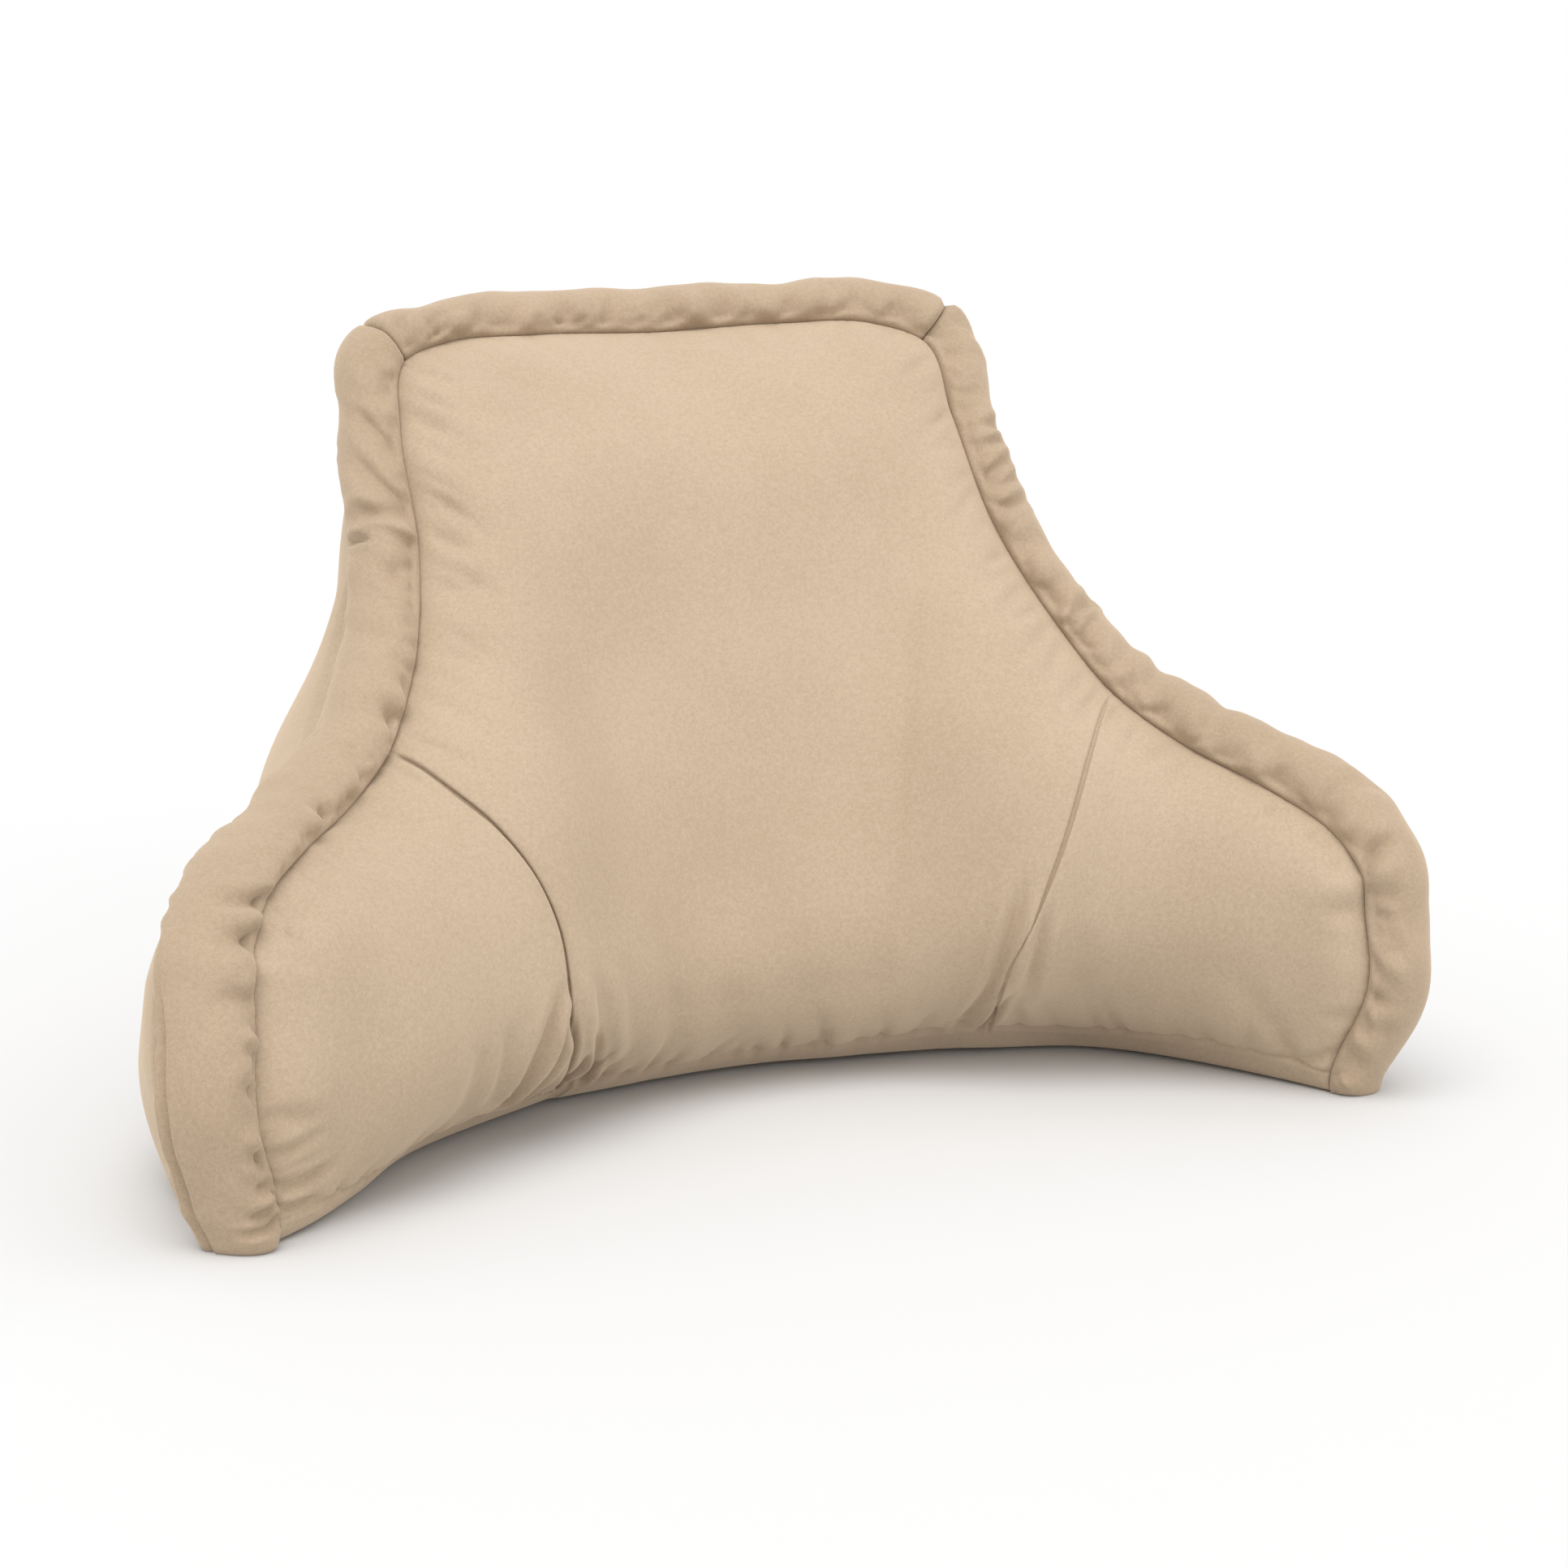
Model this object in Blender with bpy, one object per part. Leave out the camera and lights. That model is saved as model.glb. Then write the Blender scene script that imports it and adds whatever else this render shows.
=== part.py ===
"""A backrest cushion with arms: one filled, horseshoe-shaped body with a crowned front of three
sewn panels, a crowned back and a flat base, edged with a thick padded roll in three lengths.
Units are metres, +Z is up, the sitter faces -Y and the origin is the middle of the footprint."""

import bpy
import numpy as np

# Driving sizes of the padded roll
STRIP_WIDTH = 0.038
ROLL_HALF_WIDTH = 0.0245
ROLL_WIDEST_RISE = 0.008
ROLL_ARC_SIDES = 11
ROLL_FOOT_HEIGHT = 0.050
ROLL_FOOT_SHARE = 0.70
ROLL_FOOT_STEP = 0.40

# Driving sizes of the filled body
FRONT_CROWN_MIDDLE = 0.088
FRONT_CROWN_ARM = 0.050
BACK_CROWN_MIDDLE = 0.034
BACK_CROWN_ARM = 0.028
BACK_HOLLOW_SWELL = 0.95
BACK_HOLLOW_REACH = 0.070
CROWN_REACH_EDGE = 0.115
CROWN_REACH_BASE = 0.085
ARM_BLEND = 0.16
CHANNEL_DEPTH = 0.011
CHANNEL_REACH = 0.032
CHANNEL_FADE = 0.020
TIP_BOW = 0.014
TIP_BOW_REACH = 0.08
TIP_TURN = 58.0
TIP_X = 0.31
TURN_POWER = 1.3
BACK_FOOT_RISE = 0.012
BASE_REST_FROM = 0.26
BASE_REST_TO = 0.92

# How the pieces are divided
COLUMNS = 84
ROWS = 13
BASE_SHARES = (0.03, 0.10, BASE_REST_FROM, 0.60, BASE_REST_TO)
HEIGHTS = 0.5 - 0.5 * np.cos(np.linspace(0, np.pi, ROWS + 1))
GAP = 0.0005
ORIGIN_SHIFT = np.array((0.0, 0.1172, 0.0))

# One row for each section, from the left tip to the right tip. edge is the crevice between the
# front and the roll, seam is the front's lower seam, turn is the way the section faces, from +Y,
# depth is the body's thickness at the floor and roll is how far the roll stands off the body.
# name, edge_x, edge_y, edge_z, seam_x, seam_y, seam_z, turn, depth, roll
SECTIONS = (
    ("left_tip", -0.322, -0.330, 0.138, -0.311, -0.338, 0.006, -58, 0.038, 0.0255),
    ("left_tip_corner", -0.313, -0.308, 0.159, -0.293, -0.325, 0.008, -57, 0.064, 0.0200),
    ("left_arm", -0.280, -0.257, 0.180, -0.256, -0.284, 0.010, -53, 0.114, 0.0190),
    ("left_arm_root", -0.246, -0.210, 0.193, -0.207, -0.217, 0.010, -47, 0.149, 0.0200),
    ("left_neck", -0.216, -0.173, 0.216, -0.124, -0.158, 0.012, -39, 0.213, 0.0240),
    ("left_low_side", -0.192, -0.136, 0.258, -0.106, -0.151, 0.012, -33, 0.221, 0.0280),
    ("left_side", -0.179, -0.098, 0.314, -0.088, -0.146, 0.012, -27, 0.228, 0.0265),
    ("left_high_side", -0.177, -0.050, 0.384, -0.064, -0.139, 0.012, -19, 0.232, 0.0250),
    ("left_corner", -0.166, -0.017, 0.421, -0.050, -0.134, 0.012, -12, 0.230, 0.0270),
    ("left_top", -0.140, 0.000, 0.430, -0.038, -0.131, 0.012, -8, 0.230, 0.0250),
    ("mid_left", -0.075, 0.018, 0.435, -0.018, -0.126, 0.012, -3, 0.229, 0.0260),
    ("mid", 0.000, 0.023, 0.436, 0.006, -0.122, 0.012, 0, 0.226, 0.0260),
    ("mid_right", 0.080, 0.021, 0.441, 0.030, -0.120, 0.012, 3, 0.222, 0.0260),
    ("right_top", 0.138, 0.008, 0.441, 0.050, -0.121, 0.012, 8, 0.218, 0.0275),
    ("right_corner", 0.165, -0.010, 0.431, 0.064, -0.122, 0.012, 12, 0.215, 0.0300),
    ("right_high_side", 0.170, -0.046, 0.386, 0.082, -0.123, 0.013, 19, 0.211, 0.0265),
    ("right_side", 0.178, -0.095, 0.320, 0.108, -0.125, 0.015, 27, 0.203, 0.0230),
    ("right_low_side", 0.199, -0.138, 0.266, 0.132, -0.128, 0.017, 33, 0.195, 0.0215),
    ("right_neck", 0.221, -0.172, 0.227, 0.157, -0.134, 0.018, 39, 0.184, 0.0240),
    ("right_arm_root", 0.250, -0.205, 0.200, 0.212, -0.141, 0.014, 47, 0.138, 0.0265),
    ("right_arm", 0.286, -0.247, 0.177, 0.260, -0.188, 0.014, 53, 0.104, 0.0285),
    ("right_tip_corner", 0.311, -0.281, 0.154, 0.297, -0.245, 0.012, 57, 0.064, 0.0295),
    ("right_tip", 0.318, -0.302, 0.132, 0.314, -0.272, 0.007, 58, 0.038, 0.0255),
)
ARM_SEAMS = ("left_neck", "right_neck")
ROLL_JOINTS = ("left_corner", "right_corner")
BACK_HOLLOWS = ("left_low_side", "right_low_side")

CLOTH_COLOUR = (0.62, 0.47, 0.32, 1.0)
CLOTH_ROUGHNESS = 0.9


def spline(knots, values, at):
    """Smooth curve through the values at the knots, read at the places asked for."""
    knots, values, at = (np.asarray(a, float) for a in (knots, values, at))
    steps = np.diff(knots)
    slopes = np.diff(values, axis=0) / steps[:, None]
    middle = (slopes[:-1] * steps[1:, None] + slopes[1:] * steps[:-1, None]) / (
        steps[:-1] + steps[1:]
    )[:, None]
    tangents = np.vstack([slopes[:1], middle, slopes[-1:]])
    i = np.clip(np.searchsorted(knots, at, side="right") - 1, 0, len(steps) - 1)
    h = steps[i][:, None]
    t = ((at - knots[i]) / steps[i])[:, None]
    return (
        (2 * t**3 - 3 * t**2 + 1) * values[i]
        + (t**3 - 2 * t**2 + t) * h * tangents[i]
        + (3 * t**2 - 2 * t**3) * values[i + 1]
        + (t**3 - t**2) * h * tangents[i + 1]
    )


def pillow(distance, reach):
    """Round shoulder of filled cloth: 0 at a seam, steep there, and 1 past its reach."""
    q = np.clip(distance / reach, 0, 1)
    return np.sqrt(1 - (1 - q) ** 2)


def belly(distance, reach):
    """Gentle swell of filled cloth from a lower seam: 0 at the seam and 1 past its reach."""
    return 1 - (1 - np.clip(distance / reach, 0, 1)) ** 2


def nearest(points, line):
    """Distance of each point to the nearest stretch of a line."""
    best = np.full(len(points), np.inf)
    for a, b in zip(line[:-1], line[1:]):
        along = b - a
        t = np.clip((points - a) @ along / max(along @ along, 1e-12), 0, 1)
        best = np.minimum(best, np.linalg.norm(points - a - t[:, None] * along, axis=1))
    return best


def section_knots():
    """Length along the crevice at each section, and the sections as an array."""
    values = np.array([row[1:] for row in SECTIONS], float)
    steps = np.linalg.norm(np.diff(values[:, :3], axis=0), axis=1)
    return np.concatenate([[0.0], np.cumsum(steps)]), values


def knot_of(name):
    """Length along the crevice at a named section."""
    knots, _ = section_knots()
    return knots[[row[0] for row in SECTIONS].index(name)]


def facing(turn):
    """Horizontal unit vector from the front of a section to its back."""
    angle = np.radians(turn)
    return np.stack([np.sin(angle), np.cos(angle), np.zeros_like(angle)], axis=-1)


def sections_at(at):
    """Crevice point, lower seam point, facing, depth and roll at lengths along the crevice."""
    knots, values = section_knots()
    read = spline(knots, values, at)
    return read[:, 0:3], read[:, 3:6], facing(read[:, 6]), read[:, 7], read[:, 8]


def tip_bow(at, height):
    """Outward bow of the arm's end: along the arm, greatest half-way up, gone by the arm's root."""
    end = knot_of("right_tip")
    near = np.clip(1 - np.minimum(at, end - at) / TIP_BOW_REACH, 0, 1) ** 2
    _, _, out, _, _ = sections_at(at)
    side = np.where(at < end / 2, -1.0, 1.0)[:, None]
    along = side * np.stack([out[:, 1], -out[:, 0], np.zeros(len(at))], axis=-1)
    amount = TIP_BOW * near[:, None] * np.sin(np.pi * height) ** 2
    return along[:, None, :] * amount[:, :, None]


def ruled_front(at, height):
    """Uncrowned front: straight lines from the lower seam up to the crevice."""
    edge, seam, _, _, _ = sections_at(at)
    rise = height[None, :, None]
    flat = seam[:, None, :] * (1 - rise) + edge[:, None, :] * rise
    return flat + tip_bow(at, height[None, :] * np.ones((len(at), 1)))


def ruled_back(at, height):
    """Uncrowned back: straight lines from the back of the base up to the roll's rear crevice."""
    edge, seam, out, depth, _ = sections_at(at)
    top = edge + out * STRIP_WIDTH
    foot = seam + out * depth[:, None]
    foot[:, 2] = np.minimum(foot[:, 2], BACK_FOOT_RISE)
    rise = height[None, :, None]
    flat = foot[:, None, :] * (1 - rise) + top[:, None, :] * rise
    return flat + tip_bow(at, height[None, :] * np.ones((len(at), 1)))


def crown_facing(points):
    """Way the crown is pushed out: straight ahead in the middle, turning towards the tips."""
    x = points[..., 0]
    return facing(np.sign(x) * TIP_TURN * (np.abs(x) / TIP_X) ** TURN_POWER)


def crown_of(at, flat, middle, arm):
    """How far cloth stands off its ruled surface, from its distance to the edge and to the base."""
    points = flat.reshape(-1, 3)
    edge_line = np.vstack([flat[0, :, :], flat[:, -1, :], flat[-1, ::-1, :]])
    shape = flat.shape[:2]
    from_edge = nearest(points, edge_line).reshape(shape)
    from_base = nearest(points, flat[:, 0, :]).reshape(shape)
    left, right = (knot_of(name) for name in ARM_SEAMS)
    into_arm = np.clip(np.maximum(left - at, at - right) / ARM_BLEND, 0, 1)
    share = (0.5 + 0.5 * np.cos(np.pi * into_arm))[:, None]
    height = arm + (middle - arm) * share
    return height * pillow(from_edge, CROWN_REACH_EDGE) * belly(from_base, CROWN_REACH_BASE)


def hollow_swell(at):
    """How much fuller the back is where it bridges the hollow between a side and its arm."""
    swell = [np.exp(-(((at - knot_of(name)) / BACK_HOLLOW_REACH) ** 2)) for name in BACK_HOLLOWS]
    return 1 + BACK_HOLLOW_SWELL * sum(swell)


def channel_of(at, flat):
    """Groove where the middle panel is sewn to each arm panel."""
    points = flat.reshape(-1, 3)
    depth = np.zeros(flat.shape[:2])
    for name in ARM_SEAMS:
        i = int(np.argmin(np.abs(at - knot_of(name))))
        away = nearest(points, flat[i]).reshape(flat.shape[:2])
        depth = np.maximum(depth, CHANNEL_DEPTH * (1 - pillow(away, CHANNEL_REACH)))
    return depth


def stations():
    """Lengths along the crevice, evenly spread, with one on each arm seam and roll joint."""
    knots, _ = section_knots()
    marks = [knot_of(name) for name in (*ARM_SEAMS, *ROLL_JOINTS)]
    marks = [0.0, *sorted(marks), knots[-1]]
    runs = []
    for a, b in zip(marks[:-1], marks[1:]):
        count = round(COLUMNS * (b - a) / knots[-1])
        runs.append(np.linspace(a, b, count + 1)[:-1])
    return np.concatenate([*runs, [knots[-1]]])


def base_rows(front_foot, back_foot):
    """Base from the back seam to the front seam, flat where it rests and rounded up at both."""
    shares = np.array(BASE_SHARES[::-1])[None, :, None]
    rows = front_foot[:, None, :] * (1 - shares) + back_foot[:, None, :] * shares
    lift = 1 - pillow(shares, BASE_REST_FROM)[:, :, 0]
    rows[:, :, 2] = front_foot[:, 2][:, None] * lift
    return rows


def body_loops():
    """Closed loop of points round each section: up the front, over, down the back, under."""
    at = stations()
    front, back = ruled_front(at, HEIGHTS), ruled_back(at, HEIGHTS)
    ahead = crown_of(at, front, FRONT_CROWN_MIDDLE, FRONT_CROWN_ARM)
    ahead = ahead - channel_of(at, front) * pillow(ahead, CHANNEL_FADE)
    behind = crown_of(at, back, BACK_CROWN_MIDDLE, BACK_CROWN_ARM) * hollow_swell(at)[:, None]
    _, _, out, _, _ = sections_at(at)
    front = front - crown_facing(front) * ahead[:, :, None]
    back = back + out[:, None, :] * behind[:, :, None]
    base = base_rows(front[:, 0], back[:, 0])
    return np.concatenate([front, back[:, ::-1], base], axis=1) + ORIGIN_SHIFT


def roll_path():
    """Front crevice from floor to floor: up one arm's end, over the top, down the other end."""
    at = stations()
    edge, _, out, _, rise = sections_at(at)
    ends = ruled_front(at[[0, -1]], HEIGHTS[:-1])
    left, right = ends[0], ends[1][::-1]
    floor_steps = np.array([[1, 1, 0.0], [1, 1, ROLL_FOOT_STEP]])
    path = np.vstack([left[0] * floor_steps, left, edge, right, right[-1] * floor_steps[::-1]])
    added = len(left) + len(floor_steps)
    across = np.vstack([np.repeat(out[:1], added, 0), out, np.repeat(out[-1:], added, 0)])
    rise = np.concatenate([np.repeat(rise[0], added), rise, np.repeat(rise[-1], added)])
    joints = [added + int(np.argmin(np.abs(at - knot_of(name)))) for name in ROLL_JOINTS]
    return path, across, rise, joints


def roll_rings():
    """Rings of the roll's section, flat where it lies on the body's strip and round outside."""
    path, across, rise, joints = roll_path()
    along = np.gradient(path, axis=0)
    along /= np.linalg.norm(along, axis=1)[:, None]
    away = np.cross(along, across)
    away /= np.linalg.norm(away, axis=1)[:, None]
    around = np.linspace(0, np.pi, ROLL_ARC_SIDES)
    half_strip = STRIP_WIDTH / 2
    sideways = np.array([half_strip, *(ROLL_HALF_WIDTH * np.cos(around)), -half_strip])
    bulge = np.array([0.0, *np.sin(around), 0.0])
    widest = np.array([0.0, *np.ones(ROLL_ARC_SIDES), 0.0])
    near_floor = np.clip(path[:, 2] / ROLL_FOOT_HEIGHT, 0, 1)
    share = ROLL_FOOT_SHARE + (1 - ROLL_FOOT_SHARE) * pillow(near_floor, 1.0)
    upward = widest * ROLL_WIDEST_RISE + bulge * (rise - ROLL_WIDEST_RISE)[:, None]
    offset = (half_strip + sideways * share[:, None])[:, :, None] * across[:, None, :]
    offset = offset + (GAP + upward * share[:, None])[:, :, None] * away[:, None, :]
    return (path[:, None, :] + offset)[:, ::-1] + ORIGIN_SHIFT, along, joints


def roll_lengths():
    """The roll's rings in three lengths, drawn apart where they are sewn end to end."""
    rings, along, joints = roll_rings()
    cuts = [0, *joints, len(rings) - 1]
    lengths = []
    for a, b in zip(cuts[:-1], cuts[1:]):
        length = rings[a : b + 1].copy()
        if a > 0:
            length[0] += along[a] * GAP / 2
        if b < len(rings) - 1:
            length[-1] -= along[b] * GAP / 2
        lengths.append(length)
    return lengths


def closed_object(name, loops, caps, slant, collection, material):
    """Closed loft through loops of equal count. caps lists the faces across an end loop. slant
    picks the diagonal that splits each patch, so that touching strips bend in the same way."""
    count, around = loops.shape[:2]
    faces = []
    for i in range(count - 1):
        for j in range(around):
            here, there = i * around + j, (i + 1) * around + j
            here_next, there_next = (row * around + (j + 1) % around for row in (i, i + 1))
            if slant == "forward":
                faces += [(here, there, there_next), (here, there_next, here_next)]
            else:
                faces += [(here, there, here_next), (there, there_next, here_next)]
    last = (count - 1) * around
    faces += [tuple(cap) for cap in caps]
    faces += [tuple(last + j for j in reversed(cap)) for cap in caps]
    mesh = bpy.data.meshes.new(name)
    mesh.from_pydata(loops.reshape(-1, 3).tolist(), [], faces)
    mesh.shade_smooth()
    obj = bpy.data.objects.new(name, mesh)
    obj.data.materials.append(material)
    collection.objects.link(obj)
    return obj


def body_caps():
    """Faces across an arm's end: from each front row to the same row of the back, and the foot."""
    back_top = ROWS + 1
    caps = [(j, j + 1, 2 * back_top - 2 - j, 2 * back_top - 1 - j) for j in range(ROWS)]
    foot = (0, 2 * back_top - 1, *range(2 * back_top, 2 * back_top + len(BASE_SHARES)))
    return [*caps, foot]


def main():
    for obj in list(bpy.data.objects):
        bpy.data.objects.remove(obj)
    collection = bpy.data.collections.new("backrest_cushion")
    bpy.context.scene.collection.children.link(collection)
    material = bpy.data.materials.new("beige_cloth")
    material.use_nodes = True
    shader = material.node_tree.nodes["Principled BSDF"]
    shader.inputs["Base Color"].default_value = CLOTH_COLOUR
    shader.inputs["Roughness"].default_value = CLOTH_ROUGHNESS
    shader.inputs["Metallic"].default_value = 0.0
    closed_object("filled_body", body_loops(), body_caps(), "forward", collection, material)
    names = ("edge_roll_left", "edge_roll_top", "edge_roll_right")
    for name, rings in zip(names, roll_lengths()):
        closed_object(name, rings, [range(rings.shape[1])], "backward", collection, material)


main()
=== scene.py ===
"""Looks for the backrest cushion with arms: the filled body and its padded edge roll in brushed
microfibre, with their seams, creases and puckers, on a pale floor in soft studio light.
Units are metres, +Z is up and the sitter faces -Y, as in the frame."""

import math

import bpy
import numpy as np
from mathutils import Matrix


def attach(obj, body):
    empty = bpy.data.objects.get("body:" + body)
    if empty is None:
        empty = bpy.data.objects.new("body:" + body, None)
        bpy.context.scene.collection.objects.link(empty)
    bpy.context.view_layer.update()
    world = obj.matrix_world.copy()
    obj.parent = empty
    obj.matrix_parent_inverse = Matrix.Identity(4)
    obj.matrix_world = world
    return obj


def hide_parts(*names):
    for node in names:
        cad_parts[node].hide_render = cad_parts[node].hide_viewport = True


# Sizes of the form, as in the solid model
STRIP_WIDTH = 0.038
HALF_STRIP = STRIP_WIDTH / 2
ROLL_HALF_WIDTH = 0.0245
ROLL_WIDEST_RISE = 0.008
ROLL_FOOT_HEIGHT = 0.050
ROLL_FOOT_SHARE = 0.70
ROLL_JOINT_GAP = 0.0004
FRONT_CROWN_MIDDLE = 0.088
FRONT_CROWN_ARM = 0.050
BACK_CROWN_MIDDLE = 0.034
BACK_CROWN_ARM = 0.028
BACK_HOLLOW_SWELL = 0.95
BACK_HOLLOW_REACH = 0.070
CROWN_REACH_EDGE = 0.115
CROWN_REACH_BASE = 0.085
CROWN_SOFTNESS = 9.0
CROWN_SOFT_FROM = 0.060
ARM_BLEND = 0.16
TIP_BOW = 0.014
TIP_BOW_REACH = 0.08
TIP_TURN = 58.0
TIP_X = 0.31
TURN_POWER = 1.3
BACK_FOOT_RISE = 0.012
BASE_REST_FROM = 0.26
BASE_REST_TO = 0.92
ORIGIN_SHIFT = np.array((0.0, 0.1172, 0.0))

# One row for each section, from the left tip to the right tip. edge is the crevice between the
# front and the roll, seam is the front's lower seam, turn is the way the section faces, from +Y,
# depth is the body's thickness at the floor and roll is how far the roll stands off the body.
# name, edge_x, edge_y, edge_z, seam_x, seam_y, seam_z, turn, depth, roll
SECTIONS = (
    ("left_tip", -0.322, -0.330, 0.138, -0.311, -0.338, 0.006, -58, 0.038, 0.0255),
    ("left_tip_corner", -0.313, -0.308, 0.159, -0.293, -0.325, 0.008, -57, 0.064, 0.0200),
    ("left_arm", -0.280, -0.257, 0.180, -0.256, -0.284, 0.010, -53, 0.114, 0.0190),
    ("left_arm_root", -0.246, -0.210, 0.193, -0.207, -0.217, 0.010, -47, 0.149, 0.0200),
    ("left_neck", -0.216, -0.173, 0.216, -0.124, -0.158, 0.012, -39, 0.213, 0.0240),
    ("left_low_side", -0.192, -0.136, 0.258, -0.106, -0.151, 0.012, -33, 0.221, 0.0280),
    ("left_side", -0.179, -0.098, 0.314, -0.088, -0.146, 0.012, -27, 0.228, 0.0265),
    ("left_high_side", -0.177, -0.050, 0.384, -0.064, -0.139, 0.012, -19, 0.232, 0.0250),
    ("left_corner", -0.166, -0.017, 0.421, -0.050, -0.134, 0.012, -12, 0.230, 0.0270),
    ("left_top", -0.140, 0.000, 0.430, -0.038, -0.131, 0.012, -8, 0.230, 0.0250),
    ("mid_left", -0.075, 0.018, 0.435, -0.018, -0.126, 0.012, -3, 0.229, 0.0260),
    ("mid", 0.000, 0.023, 0.436, 0.006, -0.122, 0.012, 0, 0.226, 0.0260),
    ("mid_right", 0.080, 0.021, 0.441, 0.030, -0.120, 0.012, 3, 0.222, 0.0260),
    ("right_top", 0.138, 0.008, 0.441, 0.050, -0.121, 0.012, 8, 0.218, 0.0275),
    ("right_corner", 0.165, -0.010, 0.431, 0.064, -0.122, 0.012, 12, 0.215, 0.0300),
    ("right_high_side", 0.170, -0.046, 0.386, 0.082, -0.123, 0.013, 19, 0.211, 0.0265),
    ("right_side", 0.178, -0.095, 0.320, 0.108, -0.125, 0.015, 27, 0.203, 0.0230),
    ("right_low_side", 0.199, -0.138, 0.266, 0.132, -0.128, 0.017, 33, 0.195, 0.0215),
    ("right_neck", 0.221, -0.172, 0.227, 0.157, -0.134, 0.018, 39, 0.184, 0.0240),
    ("right_arm_root", 0.250, -0.205, 0.200, 0.212, -0.141, 0.014, 47, 0.138, 0.0265),
    ("right_arm", 0.286, -0.247, 0.177, 0.260, -0.188, 0.014, 53, 0.104, 0.0285),
    ("right_tip_corner", 0.311, -0.281, 0.154, 0.297, -0.245, 0.012, 57, 0.064, 0.0295),
    ("right_tip", 0.318, -0.302, 0.132, 0.314, -0.272, 0.007, 58, 0.038, 0.0255),
)
ARM_SEAMS = ("left_neck", "right_neck")
ROLL_JOINTS = ("left_corner", "right_corner")
BACK_HOLLOWS = ("left_low_side", "right_low_side")

# How finely the cloth is divided, and how many points its guide lines have
BODY_COLUMNS = 470
SEAM_CROWDING = 5.0
SEAM_CROWD_REACH = 0.020
FRONT_ROWS = 116
ROW_CROWDING = 0.4
STRIP_ROWS = 6
BASE_ROWS = 22
BACK_CROWDING = 1.6
OUTLINE_POINTS = 170
END_POINTS = 24
CROWDING_POINTS = 6001
SEAM_LINE_STEP = 3
PATH_POINTS = 900
CLIMB_POINTS = 120
ROLL_STEP = 0.0023
ROLL_ARC_POINTS = 44
ROLL_QUARTER_POINTS = 6

# Arm seams: how far each one bends sideways from its straight section line. slide is measured
# along the crevice, away from the middle panel where it is positive.
# seam, height, slide
SEAM_BENDS = (
    ("left_neck", 0.00, -0.0100),
    ("left_neck", 0.12, 0.0030),
    ("left_neck", 0.20, 0.0080),
    ("left_neck", 0.30, 0.0105),
    ("left_neck", 0.43, 0.0080),
    ("left_neck", 0.56, 0.0000),
    ("left_neck", 0.66, -0.0024),
    ("left_neck", 0.82, 0.0000),
    ("left_neck", 0.94, 0.0030),
    ("left_neck", 1.00, 0.0000),
    ("right_neck", 0.00, 0.0030),
    ("right_neck", 0.22, -0.0030),
    ("right_neck", 0.45, 0.0080),
    ("right_neck", 0.68, 0.0125),
    ("right_neck", 0.88, 0.0070),
    ("right_neck", 1.00, 0.0000),
)
SEAM_BEND_REACH = 0.11
CHANNEL_FADE = 0.020
# Channel that the cloth is drawn into along each arm seam, with its stitched line.
# seam, depth, reach on the arm, reach on the middle panel, stitch depth, stitch reach
ARM_CHANNELS = (
    ("left_neck", 0.0085, 0.011, 0.034, 0.0030, 0.0014),
    ("right_neck", 0.0014, 0.010, 0.016, 0.0020, 0.0011),
)
# Sewn lines: the hem above the base, and the welt behind the roll
HEM_AWAY = 0.0060
HEM_REACH = 0.0015
HEM_DEPTH = 0.0020
WELT_AWAY = 0.0085
WELT_REACH = 0.0019
WELT_DEPTH = 0.0034
SEWN_WANDER = 0.25
SEWN_WANDER_SIZE = 0.05

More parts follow.
